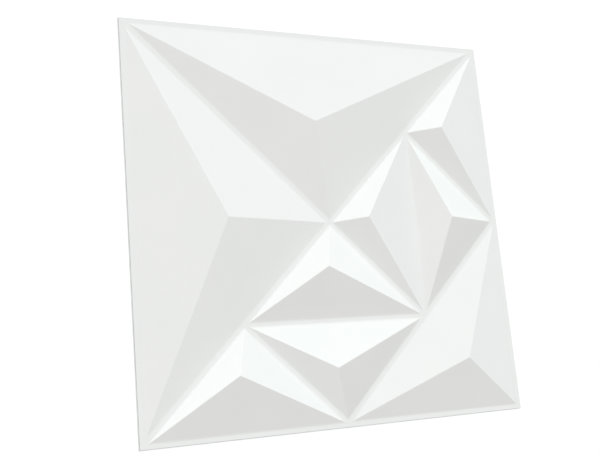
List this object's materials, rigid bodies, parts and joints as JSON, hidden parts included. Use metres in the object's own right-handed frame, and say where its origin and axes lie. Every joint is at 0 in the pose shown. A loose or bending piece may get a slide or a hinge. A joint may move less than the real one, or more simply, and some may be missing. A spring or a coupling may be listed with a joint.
{
  "type": "3d wall panel tile",
  "caption": "Square white wall panel: one thin moulded sheet with raised hollow three-sided pyramids, flat lands between them and a flat rim; bonded to a wall as decorative cladding.",
  "frame": {"origin": "middle of the back, on the plane that the sheet's rim and lands lie on", "axes": "+Z out of the front, towards the pyramids' tips; +Y towards the upper edge of the pattern; +X to the right as seen from the front"},
  "size_m": [0.5, 0.5, 0.02],
  "materials": {
    "white_pvc": "matte white moulded PVC sheet"
  },
  "bodies": {
    "root": {"wall_panel": "white_pvc"}
  },
  "joints": []
}
